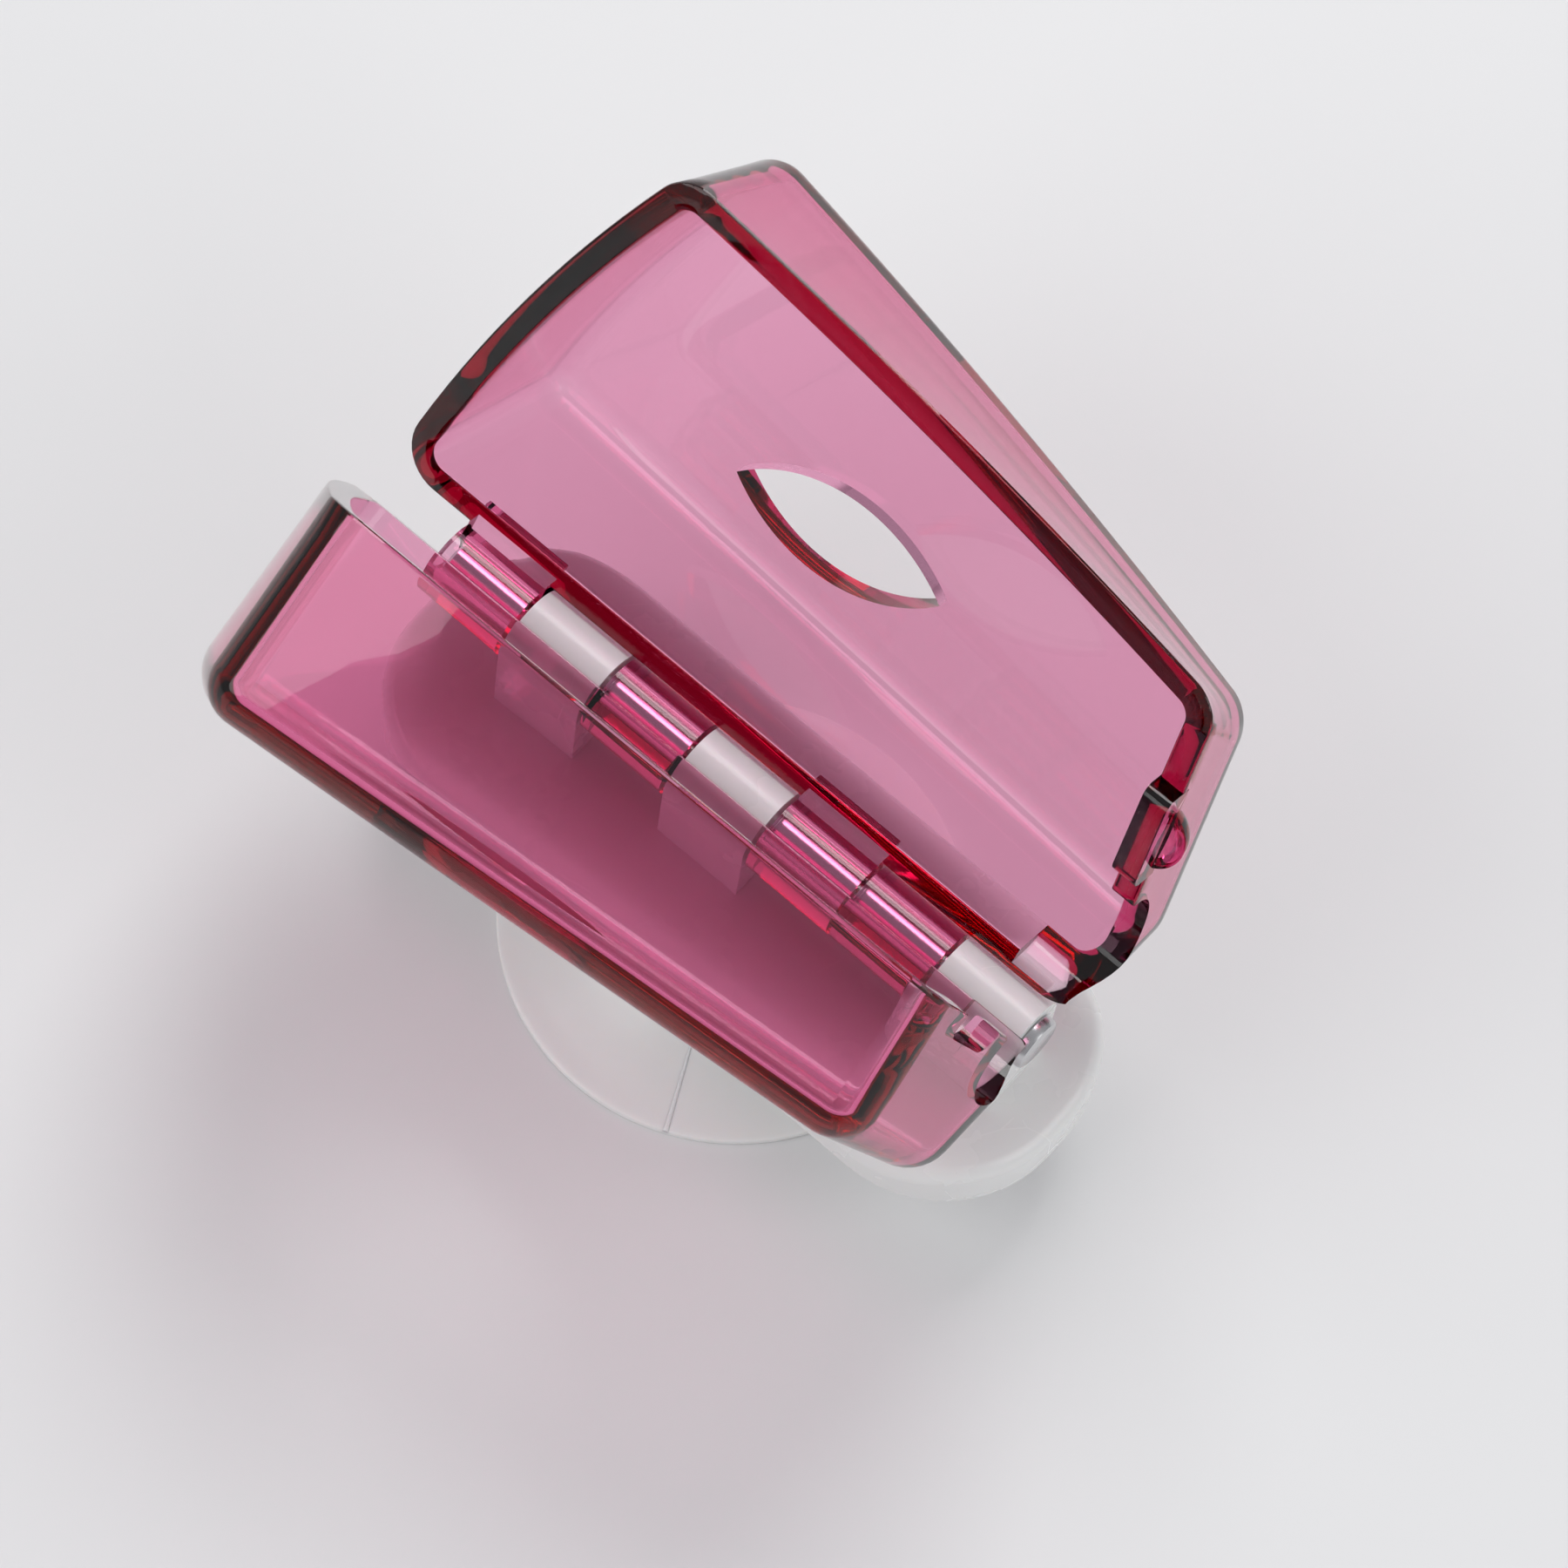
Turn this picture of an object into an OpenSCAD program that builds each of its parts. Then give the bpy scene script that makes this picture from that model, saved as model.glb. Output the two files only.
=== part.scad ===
// Brush-head cover: two clear half shells hinged on a saddle that a suction cup holds to a wall.
// Origin: centre of the suction cup's contact face. +Z leaves the wall, +Y points to the tip end.
// Each shell is drawn closed in its own frame (X away from the parting plane, Z up from the
// hinge axis), then turned about the hinge to the angle at which it stands open.

/* [Pose] */
// Angle of the left shell from closed, in degrees
left_open = 23.3; // [0:0.1:45]
// Angle of the right shell from closed, in degrees
right_open = 30.6; // [0:0.1:45]

/* [Shells] */
// Reach of the rim at the hinge side towards the tip end
tip_hinge_y = 21.1; // [19:0.1:24]
// Reach of the rim at the free side towards the tip end
tip_free_y = 16.5; // [13:0.1:18]
// Reach of the rim at the hinge side towards the neck end
neck_hinge_y = 16.3; // [15.6:0.1:19]
// Reach of the rim at the free side towards the neck end
neck_free_y = 14.5; // [12:0.1:16]
// Height of the rim above the hinge axis at the tip end
tip_height = 22.6; // [20:0.1:26]
// Height of the rim above the hinge axis at the neck end
neck_height = 19.1; // [18:0.1:22]
// Depth of one shell at the tip end
tip_depth = 9.9; // [8.5:0.1:12]
// Depth of one shell at the neck end
neck_depth = 7.4; // [6.8:0.1:9]
// How far the free edge of the back sits in from the rim at the tip end
tip_inset = 2; // [0.5:0.1:3]
// How far the free edge of the back sits in from the rim at the neck end
neck_inset = 3.4; // [0.5:0.1:4]
// How far the hinge edge of the back sits in from the rim
hinge_inset = 0.5; // [0.2:0.1:1.5]
// How far the tip wall bulges outwards at its middle
tip_bulge = 0.6; // [0:0.1:1.5]
// How far the free wall bulges outwards at its middle
free_bulge = 0.35; // [0:0.05:1]
// Wall thickness of a shell
wall = 1.2; // [0.9:0.1:1.4]
// Radius of the rim's upright corners, outside
rim_r = 2; // [1.9:0.1:2.6]
// Radius of the rounded edges of the back, outside
back_r = 1.9; // [1.5:0.1:1.9]
// Gap between the two closed rims
rim_gap = 0.2; // [0.1:0.05:0.4]

/* [Neck hole and vent] */
// Diameter of the round hole that the two closed shells form in their neck walls
hole_d = 6.2; // [4:0.1:6.6]
// Height of the neck hole's centre above the hinge axis
hole_height = 5.5; // [5.5:0.1:6]
// Place of the vent's centre along the hinge
vent_y = 4.9; // [2:0.1:6]
// Height of the vent's centre above the hinge axis
vent_height = 7.8; // [7:0.1:10]
// Length of the leaf-shaped vent
vent_len = 11; // [6:0.1:13]
// Width of the vent at its middle
vent_rise = 4.2; // [2:0.1:5]
// Lean of the vent from the hinge's direction, in degrees
vent_lean = 10; // [0:1:20]

/* [Tabs and tongue] */
// Height of the right shell's finger tab above the hinge axis
tab_height = 12; // [11.6:0.1:12.4]
// Radius of the finger tab
tab_r = 1.5; // [1.2:0.1:1.6]
// How deep the finger tab's centre sits in the wall
tab_sink = 0.5; // [0.3:0.1:0.8]
// Height of the tongue's lower end above the hinge axis
tongue_low = 10.1; // [9.6:0.1:10.5]
// Height of the tongue's upper end above the hinge axis
tongue_high = 14.5; // [13:0.1:15]
// How far the tongue stands out of the right rim
tongue_reach = 1.1; // [0.6:0.1:1.3]
// Corner radius of the tongue
tongue_r = 0.5; // [0.3:0.1:0.5]
// Gap round the tongue in its seat
tongue_gap = 0.15; // [0.1:0.05:0.2]

/* [Hinge] */
// Diameter of the hinge pin
pin_d = 1.5; // [1.2:0.1:1.6]
// Radial running gap of the shells' knuckles on the pin
pin_gap = 0.05; // [0.02:0.01:0.1]
// Wall of a knuckle round the pin's bore
knuckle_wall = 1; // [0.8:0.05:1.1]
// Length of one knuckle
knuckle_len = 4.4; // [3.8:0.1:4.5]
// Place of the hinge's middle, from the suction cup's centre towards the tip end
hinge_y = 1; // [0.6:0.1:1.4]
// Gap between neighbouring knuckles
knuckle_gap = 0.2; // [0.15:0.05:0.3]
// Gap between a shell's lower wall and the knuckles beside it
barrel_gap = 0.2; // [0.15:0.05:0.3]
// How far the pin's plain end stops short of the last knuckle's end
pin_short = 0.3; // [0.1:0.1:1]
// Diameter of the pin's head
pin_head_d = 2.5; // [2:0.1:3]
// Thickness of the pin's head
pin_head_t = 0.6; // [0.4:0.1:1]

/* [Saddle] */
// Length of the saddle
saddle_len = 35.6; // [35:0.1:40]
// Width of the saddle
saddle_w = 13.2; // [12.4:0.1:15]
// Height of the saddle's body
saddle_h = 4.5; // [4.2:0.1:5]
// Height of the saddle's upright sides
saddle_side_h = 2; // [1.4:0.1:2.6]
// How far the saddle's top falls from its middle to its ends
saddle_fall = 1.6; // [0.8:0.1:2]
// Radius of the saddle's corners, seen from above
saddle_r = 6; // [4:0.1:6.1]
// Height of the lugs' feet between the saddle and the round of the knuckle
lug_rise = 2; // [1.8:0.1:3]

/* [Suction cup] */
// Diameter of the cup's lip
cup_d = 20.4; // [18:0.1:24]
// Height of the cup, from the wall to the saddle
cup_h = 4.6; // [4:0.1:6]
// Thickness of the cup's lip
lip_t = 0.5; // [0.4:0.1:0.8]
// Width of the flat ring that seals on the wall
seal_w = 2.6; // [1.5:0.1:3.5]
// Depth of the hollow under the cup
hollow_h = 0.8; // [0.5:0.1:1.2]
// Diameter of the pad at the middle of the hollow
pad_d = 4.4; // [3:0.1:6]
// Diameter of the cup's neck, in the saddle
cup_neck_d = 5.2; // [4:0.1:6]
// Diameter of the cup's head, in the saddle
cup_head_d = 8; // [7:0.1:8.4]
// Thickness of the cup's head
cup_head_t = 1.6; // [1.2:0.1:1.8]
// Thickness of the saddle's floor, which the cup's head grips
grip_t = 1.2; // [1:0.1:1.4]
// Gap round the cup's neck and head
cup_gap = 0.1; // [0.05:0.05:0.2]
// Width of the mould line across the cup
line_w = 0.28; // [0.2:0.02:0.5]
// Height of the mould line
line_h = 0.12; // [0.08:0.02:0.2]
// Direction of the mould line on the cup, in degrees from +X
seam_angle = 205; // [0:1:360]

/* [Hidden] */
$fn = 48;
round_fn = 32;
knuckle_count = 7;
right_knuckles = [2, 6];
left_knuckles = [1, 4];
saddle_knuckles = [0, 3, 5];
pin_r = pin_d / 2;
press_gap = 0.01;
barrel_r = pin_r + pin_gap + knuckle_wall;
low_w = barrel_r + barrel_gap;
knuckle_pitch = knuckle_len + knuckle_gap;
hinge_len = knuckle_count * knuckle_pitch - knuckle_gap;
saddle_z = cup_h;
saddle_top = saddle_z + saddle_h;
hinge_z = saddle_top + lug_rise + barrel_r;
rim_x = rim_gap / 2;
cup_r = cup_d / 2;
head_z = saddle_z + grip_t;
cup_shoulder_r = cup_neck_d / 2 + 1.2;
overshoot = 5;
// Outward bulge at the middle of each wall: tip, free, neck and hinge side
bulges = [tip_bulge, free_bulge, 0, 0];
// Centres of the upright corners at the rim, as [y, height above the axis]
rim_centres = [
    [tip_hinge_y - rim_r, low_w + rim_r],
    [tip_free_y - rim_r, tip_height - rim_r],
    [rim_r - neck_free_y, neck_height - rim_r],
    [rim_r - neck_hinge_y, low_w + rim_r]
];
// Centres of the same corners at the back
back_centres = [
    [tip_hinge_y - rim_r - 0.4, low_w + rim_r + hinge_inset],
    [tip_free_y - rim_r, tip_height - rim_r - tip_inset],
    [rim_r - neck_free_y - 0.1, neck_height - rim_r - neck_inset],
    [rim_r - neck_hinge_y + 0.3, low_w + rim_r + hinge_inset]
];
clear_pink = [0.72, 0.24, 0.42, 0.62];

// Depth of a shell's back at a place along the hinge
function depth_at(y) = neck_depth + (tip_depth - neck_depth) * (y + neck_free_y) / (tip_free_y + neck_free_y);

// Middle of the side that starts at corner i, pushed outwards by that side's bulge
function side_middle(q, i) =
    let (
        d = q[(i + 1) % 4] - q[i],
        out = [d[1], -d[0]] / norm(d)
    )
    (q[i] + q[(i + 1) % 4]) / 2 + out * bulges[i];

// Upright round at a place of the rim, started at a given depth
module rim_round(c, r, from_x) {
    translate([from_x, c[0], c[1]])
        rotate([0, 90, 0])
            cylinder(r = r, h = 0.4, $fn = round_fn);
}

// Ball at a place of the back, set in from its face
module back_round(c, r) {
    translate([depth_at(c[0]) - back_r, c[0], c[1]])
        sphere(r = r, $fn = round_fn);
}

// The shell's closed form, drawn in by a distance on every side and started at a given depth
module shell_form(inset, from_x) {
    hull()
        for (i = [0:3]) {
            rim_round(rim_centres[i], rim_r - inset, from_x);
            back_round(back_centres[i], back_r - inset);
            if (bulges[i] > 0) {
                rim_round(side_middle(rim_centres, i), rim_r - inset, from_x);
                back_round(side_middle(back_centres, i), back_r - inset);
            }
        }
}

// Y of the neck wall's outer face at the rim, at a height above the hinge axis
function neck_y(w) =
    let (
        a = rim_centres[3],
        b = rim_centres[2],
        slope = (b[0] - a[0]) / (b[1] - a[1])
    )
    a[0] + slope * (w - a[1]) - rim_r * sqrt(1 + slope * slope);

// Round hole for a neck, cut through the neck wall and shared by both shells
module neck_hole() {
    translate([0, -neck_hinge_y - 1, hole_height])
        rotate([-90, 0, 0])
            cylinder(d = hole_d, h = neck_hinge_y - neck_free_y + 1.4 + wall);
}

// Leaf-shaped vent through the back, bounded by two arcs
module vent() {
    arc_r = (vent_len * vent_len / vent_rise + vent_rise) / 4;
    translate([neck_depth / 2, vent_y, vent_height])
        rotate([-vent_lean, 0, 0])
            rotate([90, 0, 90])
                linear_extrude(tip_depth)
                    intersection_for(side = [-1, 1])
                        translate([0, side * (arc_r - vent_rise / 2)])
                            circle(r = arc_r, $fn = 180);
}

// Half-round finger tab on the neck wall, flush with the rim
module finger_tab() {
    intersection() {
        translate([rim_x, neck_y(tab_height) + tab_sink, tab_height])
            sphere(r = tab_r, $fn = 40);
        translate([rim_x, neck_y(tab_height) - overshoot, tab_height - tab_r])
            cube([tab_r, overshoot + wall / 2, 2 * tab_r]);
    }
}

// Side view of the tongue, or of its seat, which also takes in everything to the left
module tongue_side(grow, left_end) {
    low = tongue_low - grow;
    high = tongue_high + grow;
    reach = tongue_reach + grow;
    r = tongue_r + grow;
    translate([left_end, low])
        square([reach - r - left_end, high - low]);
    translate([left_end, low + r])
        square([reach - left_end, high - low - 2 * r]);
    for (w = [low + r, high - r])
        translate([reach - r, w])
            circle(r = r);
}

// The same side view carried through the whole neck wall
module through_neck_wall() {
    translate([0, 4 - neck_free_y, 0])
        rotate([90, 0, 0])
            linear_extrude(neck_hinge_y - neck_free_y + 7)
                children();
}

// Tongue: as thick as the neck wall, standing out of its rim
module tongue() {
    low = tongue_low - 1;
    high = tongue_high + 1;
    intersection() {
        through_neck_wall()
            mirror([1, 0])
                tongue_side(0, -rim_x - 0.5);
        translate([-overshoot, 0, 0])
            rotate([90, 0, 90])
                linear_extrude(2 * overshoot)
                    polygon([
                        [neck_y(low), low],
                        [neck_y(low) + wall, low],
                        [neck_y(high) + wall, high],
                        [neck_y(high), high]
                    ]);
    }
}

// Middle of one knuckle along the hinge
function knuckle_y(k) = hinge_y + (k - (knuckle_count - 1) / 2) * knuckle_pitch;

// Knuckle barrels of one shell, each with the web that joins it to the lower wall
module shell_knuckles(places) {
    for (k = places)
        translate([0, knuckle_y(k) - knuckle_len / 2, 0]) {
            rotate([-90, 0, 0])
                cylinder(r = barrel_r, h = knuckle_len);
            translate([rim_x, 0, 0])
                cube([wall, knuckle_len, low_w + wall / 2]);
        }
}

// Bore for the pin, along the whole hinge
module pin_bore(r) {
    translate([0, -hinge_len, 0])
        rotate([-90, 0, 0])
            cylinder(r = r, h = 2 * hinge_len);
}

// One closed half shell, opening towards -X
module half_shell(places, has_tongue) {
    difference() {
        union() {
            difference() {
                shell_form(0, rim_x);
                shell_form(wall, -1);
            }
            shell_knuckles(places);
            if (has_tongue) {
                finger_tab();
                tongue();
            }
        }
        pin_bore(pin_r + pin_gap);
        neck_hole();
        vent();
        if (!has_tongue)
            through_neck_wall()
                tongue_side(tongue_gap, -overshoot);
    }
}

module right_shell() {
    color(clear_pink)
        translate([0, 0, hinge_z])
            rotate([0, right_open, 0])
                half_shell(right_knuckles, true);
}

module left_shell() {
    color(clear_pink)
        translate([0, 0, hinge_z])
            rotate([0, -left_open, 0])
                mirror([1, 0, 0])
                    half_shell(left_knuckles, false);
}

// Pin with a flat head at the neck end, held in the saddle's lugs
module hinge_pin() {
    color("silver")
        translate([0, hinge_y - hinge_len / 2, hinge_z])
            rotate([-90, 0, 0]) {
                cylinder(r = pin_r, h = hinge_len - pin_short);
                translate([0, 0, -pin_head_t])
                    cylinder(d = pin_head_d, h = pin_head_t);
            }
}

// Outline of the saddle seen from above, extruded
module saddle_plan() {
    half_l = saddle_len / 2;
    half_w = saddle_w / 2;
    translate([-half_w + saddle_r, -half_l, saddle_z])
        cube([saddle_w - 2 * saddle_r, saddle_len, saddle_h]);
    translate([-half_w, -half_l + saddle_r, saddle_z])
        cube([saddle_w, saddle_len - 2 * saddle_r, saddle_h]);
    for (x = [-1, 1], y = [-1, 1])
        translate([x * (half_w - saddle_r), y * (half_l - saddle_r), saddle_z])
            cylinder(r = saddle_r, h = saddle_h, $fn = 64);
}

// Crown of the saddle: one cylinder along the hinge and a much larger one across it
module saddle_crown() {
    rise = saddle_h - saddle_side_h;
    cross_r = (saddle_w * saddle_w / 4 + rise * rise) / (2 * rise);
    long_r = (saddle_len * saddle_len / 4 + saddle_fall * saddle_fall) / (2 * saddle_fall);
    intersection() {
        translate([0, saddle_len, saddle_top - cross_r])
            rotate([90, 0, 0])
                cylinder(r = cross_r, h = 2 * saddle_len, $fn = 120);
        translate([-saddle_w, 0, saddle_top - long_r])
            rotate([0, 90, 0])
                cylinder(r = long_r, h = 2 * saddle_w, $fn = 360);
    }
}

module saddle() {
    color("white")
        difference() {
            union() {
                intersection() {
                    saddle_plan();
                    saddle_crown();
                }
                for (k = saddle_knuckles)
                    translate([0, knuckle_y(k) - knuckle_len / 2, 0]) {
                        translate([0, 0, hinge_z])
                            rotate([-90, 0, 0])
                                cylinder(r = barrel_r, h = knuckle_len);
                        translate([-barrel_r, 0, saddle_z + saddle_side_h])
                            cube([2 * barrel_r, knuckle_len, hinge_z - saddle_z - saddle_side_h]);
                    }
            }
            translate([0, 0, hinge_z])
                pin_bore(pin_r + press_gap);
            translate([0, 0, saddle_z - 1])
                cylinder(d = cup_neck_d + 2 * cup_gap, h = grip_t + 1.5);
            translate([0, 0, head_z])
                cylinder(d = cup_head_d + 2 * cup_gap, h = cup_head_t + 2 * cup_gap);
        }
}

// Upper side of the cup from the lip to the shoulder, lifted by a little
function cup_slope(lift) = [
    [cup_r - 0.15, lip_t + lift],
    [cup_r - 1.2, lip_t + 0.3 + lift],
    [cup_r - 2.9, lip_t + 0.95 + lift],
    [cup_r - 4.4, lip_t + 1.75 + lift],
    [cup_shoulder_r + 0.5, cup_h * 0.72 + lift],
    [cup_shoulder_r, cup_h - cup_gap]
];

// Soft cup: flat sealing ring, shallow hollow round a middle pad, and a head for the saddle
module suction_cup() {
    slope = cup_slope(0);
    line = cup_slope(line_h);
    color([0.9, 0.9, 0.88, 0.8]) {
        rotate_extrude($fn = 96)
            polygon(concat(
                [
                    [0, 0],
                    [pad_d / 2, 0],
                    [pad_d / 2 + 0.6, hollow_h],
                    [cup_r - seal_w - 1, hollow_h],
                    [cup_r - seal_w, 0],
                    [cup_r - 0.1, 0],
                    [cup_r, 0.1],
                    [cup_r, lip_t - 0.1]
                ],
                slope,
                [
                    [cup_neck_d / 2, cup_h - cup_gap],
                    [cup_neck_d / 2, head_z + cup_gap],
                    [cup_head_d / 2, head_z + cup_gap],
                    [cup_head_d / 2, head_z + cup_gap + cup_head_t / 2],
                    [cup_head_d / 2 - 1, head_z + cup_gap + cup_head_t - 0.1],
                    [0, head_z + cup_gap + cup_head_t - 0.1]
                ]
            ));
        // Mould line
        rotate([0, 0, seam_angle])
            rotate([90, 0, 0])
                linear_extrude(line_w, center = true)
                    polygon([
                        slope[0] - [0.3, 0.2],
                        [cup_r, lip_t - 0.2],
                        [cup_r, lip_t - 0.1],
                        line[0],
                        line[1],
                        line[2],
                        slope[3],
                        slope[3] - [0, 0.4],
                        slope[2] - [0, 0.4],
                        slope[1] - [0, 0.2]
                    ]);
    }
}

left_shell();
right_shell();
hinge_pin();
saddle();
suction_cup();
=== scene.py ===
import math
import bmesh
import bpy
from mathutils import Matrix, Vector


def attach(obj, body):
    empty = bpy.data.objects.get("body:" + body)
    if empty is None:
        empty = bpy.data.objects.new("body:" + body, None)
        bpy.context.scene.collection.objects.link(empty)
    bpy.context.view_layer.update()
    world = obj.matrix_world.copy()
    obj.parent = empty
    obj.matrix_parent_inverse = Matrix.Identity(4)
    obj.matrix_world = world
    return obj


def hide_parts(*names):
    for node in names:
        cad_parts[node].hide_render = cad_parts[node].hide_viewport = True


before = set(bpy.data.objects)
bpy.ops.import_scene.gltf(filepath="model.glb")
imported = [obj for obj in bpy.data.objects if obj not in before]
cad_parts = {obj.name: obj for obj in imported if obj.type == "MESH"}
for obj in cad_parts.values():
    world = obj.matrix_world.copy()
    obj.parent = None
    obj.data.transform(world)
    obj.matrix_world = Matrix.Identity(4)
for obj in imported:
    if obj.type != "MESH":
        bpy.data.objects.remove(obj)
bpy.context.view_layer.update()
mm = 0.001
print("frame loaded")

# the camera and the light

view = {
    "tilt": 23.8,          # degrees from straight above
    "roll": 11.8,          # turn of the picture
    "turn": -59.9,         # where the camera stands round the object
    "lens": 140,
    "aim": (2.325, 6.118), # mm, from the picture's middle to the cup's centre
    "distance": 265.4,     # mm
}


def addCamera():
    data = bpy.data.cameras.new("photoCamera")
    data.lens = view["lens"]
    data.sensor_width = 36
    data.clip_start = 0.01
    data.clip_end = 10
    camera = bpy.data.objects.new("photoCamera", data)
    bpy.context.scene.collection.objects.link(camera)
    turned = (Matrix.Rotation(math.radians(view["turn"]), 4, "Z")
              @ Matrix.Rotation(math.radians(view["tilt"]), 4, "X")
              @ Matrix.Rotation(math.radians(view["roll"]), 4, "Z"))
    place = Vector((view["aim"][0], view["aim"][1], view["distance"])) * mm
    camera.matrix_world = turned @ Matrix.Translation(place)
    bpy.context.scene.camera = camera


addCamera()

studio = {
    "world": 0.40,
    "keySize": 0.24, "keyPower": 0.80, "keyPlace": (0.22, 0.12, 0.36),
    "fillSize": 0.34, "fillPower": 0.55, "fillPlace": (-0.28, 0.16, 0.28),
    "sideSize": 0.34, "sidePower": 0.50, "sidePlace": (0.08, -0.34, 0.26),
    "passes": 24,  # how many surfaces the light may cross in clear plastic
}


def addLight(name, place, size, power):
    data = bpy.data.lights.new(name, "AREA")
    data.shape = "DISK"
    data.size = size
    data.energy = power
    lamp = bpy.data.objects.new(name, data)
    bpy.context.scene.collection.objects.link(lamp)
    lamp.location = place
    lamp.rotation_euler = (Vector((0, 0, 0.015)) - Vector(place)).to_track_quat("-Z", "Y").to_euler()


addLight("keyLight", studio["keyPlace"], studio["keySize"], studio["keyPower"])
addLight("fillLight", studio["fillPlace"], studio["fillSize"], studio["fillPower"])
addLight("sideLight", studio["sidePlace"], studio["sideSize"], studio["sidePower"])

bpy.context.scene.view_settings.view_transform = "Standard"
world = bpy.data.worlds.new("softRoom")
bpy.context.scene.world = world
world.use_nodes = True
background = world.node_tree.nodes["Background"]
background.inputs["Color"].default_value = (0.95, 0.96, 1.0, 1)
background.inputs["Strength"].default_value = studio["world"]
bpy.context.scene.cycles.max_bounces = studio["passes"]
bpy.context.scene.cycles.transmission_bounces = studio["passes"]
bpy.context.scene.cycles.glossy_bounces = studio["passes"]
print("camera and light set")

# finishes


def newGroup(name, numbersIn, numbersOut):
    group = bpy.data.node_groups.new(name, "ShaderNodeTree")
    group.interface.new_socket("Vector", in_out="INPUT", socket_type="NodeSocketVector")
    for title, value in numbersIn.items():
        socket = group.interface.new_socket(title, in_out="INPUT", socket_type="NodeSocketFloat")
        socket.default_value = value
    for title in numbersOut:
        group.interface.new_socket(title, in_out="OUTPUT", socket_type="NodeSocketFloat")
    return group, group.nodes.new("NodeGroupInput"), group.nodes.new("NodeGroupOutput")


def addNode(tree, kind, **settings):
    node = tree.nodes.new(kind)
    for key, value in settings.items():
        if hasattr(node, key):
            setattr(node, key, value)
        else:
            node.inputs[key.replace("_", " ")].default_value = value
    return node


def makeFlowLines():
    # long, very shallow waves that the melt leaves in a moulding, and its finer orange peel
    group, given, out = newGroup("mouldFlow", {"Wave": 120.0, "Peel": 900.0}, ["Height"])
    peelShare = 0.12
    wave = addNode(group, "ShaderNodeTexNoise", Detail=1.0, Roughness=0.4)
    peel = addNode(group, "ShaderNodeTexNoise", Detail=2.0, Roughness=0.5)
    join = addNode(group, "ShaderNodeMath", operation="MULTIPLY_ADD")
    join.inputs[1].default_value = peelShare
    group.links.new(given.outputs["Vector"], wave.inputs["Vector"])
    group.links.new(given.outputs["Vector"], peel.inputs["Vector"])
    group.links.new(given.outputs["Wave"], wave.inputs["Scale"])
    group.links.new(given.outputs["Peel"], peel.inputs["Scale"])
    group.links.new(peel.outputs["Fac"], join.inputs[0])
    group.links.new(wave.outputs["Fac"], join.inputs[2])
    group.links.new(join.outputs[0], out.inputs["Height"])
    return group


def makeHandling():
    # roughness that handling leaves: soft smears and fine hairline scratches
    strengths = {"Base": 0.05, "Smear": 0.08, "Scratch": 0.2}
    group, given, out = newGroup("handlingMarks", strengths, ["Roughness", "Mask"])
    smear = addNode(group, "ShaderNodeTexNoise", Scale=160.0, Detail=4.0, Roughness=0.6)
    smearStep = addNode(group, "ShaderNodeMapRange", From_Min=0.5, From_Max=0.75, To_Min=0.0, To_Max=1.0)
    hair = addNode(group, "ShaderNodeTexVoronoi", feature="DISTANCE_TO_EDGE", Scale=210.0)
    hairStep = addNode(group, "ShaderNodeMapRange", From_Min=0.0, From_Max=0.006, To_Min=1.0, To_Max=0.0)
    broken = addNode(group, "ShaderNodeTexNoise", Scale=420.0, Detail=2.0)
    brokenStep = addNode(group, "ShaderNodeMapRange", From_Min=0.52, From_Max=0.6, To_Min=0.0, To_Max=1.0)
    scratch = addNode(group, "ShaderNodeMath", operation="MULTIPLY")
    first = addNode(group, "ShaderNodeMath", operation="MULTIPLY_ADD")
    second = addNode(group, "ShaderNodeMath", operation="MULTIPLY_ADD")
    for node in (smear, hair, broken):
        group.links.new(given.outputs["Vector"], node.inputs["Vector"])
    group.links.new(smear.outputs["Fac"], smearStep.inputs["Value"])
    group.links.new(hair.outputs["Distance"], hairStep.inputs["Value"])
    group.links.new(broken.outputs["Fac"], brokenStep.inputs["Value"])
    group.links.new(hairStep.outputs["Result"], scratch.inputs[0])
    group.links.new(brokenStep.outputs["Result"], scratch.inputs[1])
    group.links.new(smearStep.outputs["Result"], first.inputs[0])
    group.links.new(given.outputs["Smear"], first.inputs[1])
    group.links.new(given.outputs["Base"], first.inputs[2])
    group.links.new(scratch.outputs[0], second.inputs[0])
    group.links.new(given.outputs["Scratch"], second.inputs[1])
    group.links.new(first.outputs[0], second.inputs[2])
    group.links.new(second.outputs[0], out.inputs["Roughness"])
    group.links.new(scratch.outputs[0], out.inputs["Mask"])
    return group


flowLines = makeFlowLines()
handlingMarks = makeHandling()


def newFinish(name):
    finish = bpy.data.materials.new(name)
    finish.use_nodes = True
    tree = finish.node_tree
    shader = tree.nodes["Principled BSDF"]
    place = tree.nodes.new("ShaderNodeTexCoord")
    return finish, tree, shader, place.outputs["Object"]


def addSurface(tree, shader, where, wave, peel, height, base, smear, scratch):
    flow = tree.nodes.new("ShaderNodeGroup")
    flow.node_tree = flowLines
    flow.inputs["Wave"].default_value = wave
    flow.inputs["Peel"].default_value = peel
    marks = tree.nodes.new("ShaderNodeGroup")
    marks.node_tree = handlingMarks
    marks.inputs["Base"].default_value = base
    marks.inputs["Smear"].default_value = smear
    marks.inputs["Scratch"].default_value = scratch
    bump = tree.nodes.new("ShaderNodeBump")
    bump.inputs["Strength"].default_value = 1.0
    bump.inputs["Distance"].default_value = height
    tree.links.new(where, flow.inputs["Vector"])
    tree.links.new(where, marks.inputs["Vector"])
    tree.links.new(flow.outputs["Height"], bump.inputs["Height"])
    tree.links.new(bump.outputs["Normal"], shader.inputs["Normal"])
    tree.links.new(marks.outputs["Roughness"], shader.inputs["Roughness"])
    return marks


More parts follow.
